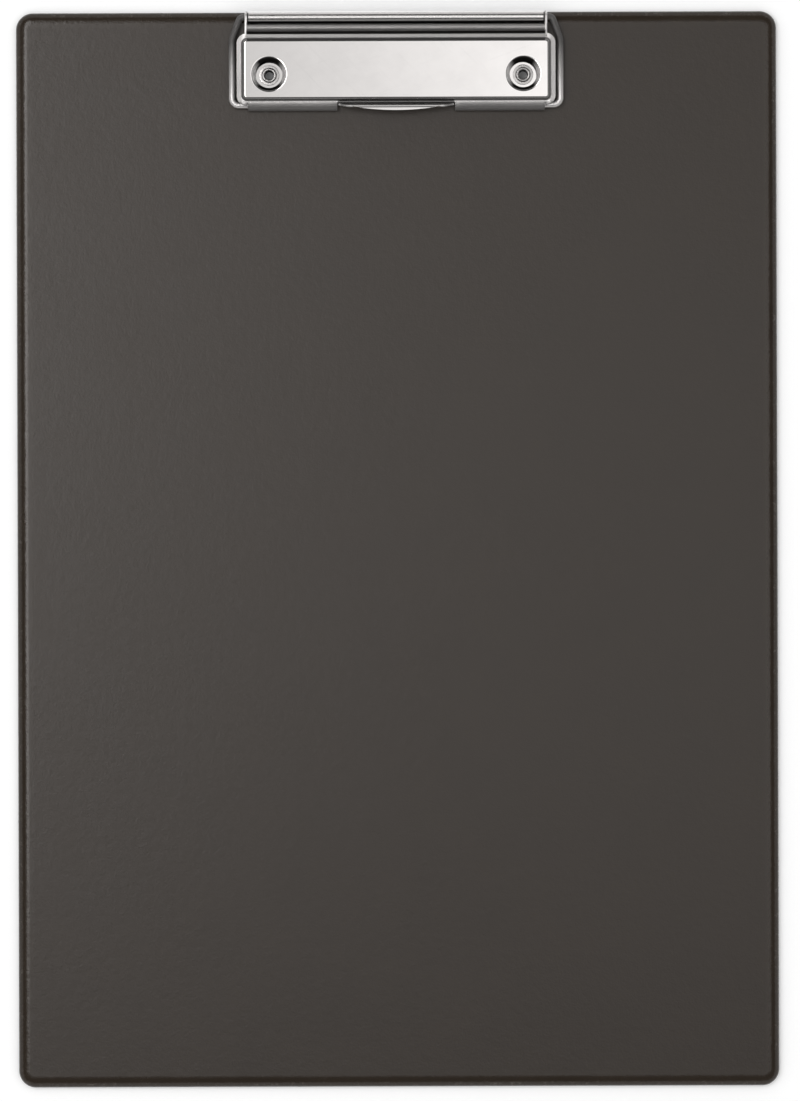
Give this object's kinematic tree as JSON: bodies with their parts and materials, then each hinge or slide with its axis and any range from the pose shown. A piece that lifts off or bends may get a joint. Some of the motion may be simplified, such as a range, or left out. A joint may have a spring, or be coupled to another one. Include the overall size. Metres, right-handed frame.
{
  "type": "clipboard",
  "caption": "Flat A4 clipboard: foil-covered greyboard panel with a sprung chrome lever clip riveted across its top edge, hinged on its own bent spring wire.",
  "frame": {"origin": "middle of the board's outline, on the surface that the back lies on", "axes": "+X across the board to the right, +Y along it towards the clip, +Z out of the writing face"},
  "size_m": [0.225, 0.318, 0.0083],
  "materials": {
    "greyboard": "raw pressed greyboard",
    "cover_foil": "fine grained matt foil, charcoal",
    "lining_foil": "smooth matt foil, dark charcoal",
    "chromed_sheet": "bright chrome on pressed steel sheet",
    "chromed_wire": "bright plated spring wire",
    "rivet_steel": "plated steel, slightly dull"
  },
  "bodies": {
    "board": {"core_board": "greyboard", "front_cover": "cover_foil", "back_lining": "lining_foil", "base_plate": "chromed_sheet", "left_rivet": "rivet_steel", "right_rivet": "rivet_steel", "left_rivet_washer": "rivet_steel", "right_rivet_washer": "rivet_steel"},
    "lever": {"clamp_lever": "chromed_sheet", "spring_wire": "chromed_wire"}
  },
  "joints": [
    {"name": "lever_lift", "type": "hinge", "parent": "board", "child": "lever", "pos_m": [0, 0.15715, 0.00467], "axis": [-1, 0, 0], "range_deg": [0, 40], "stiffness_Nm_per_rad": 0.5, "springref_deg": -28.65}
  ]
}
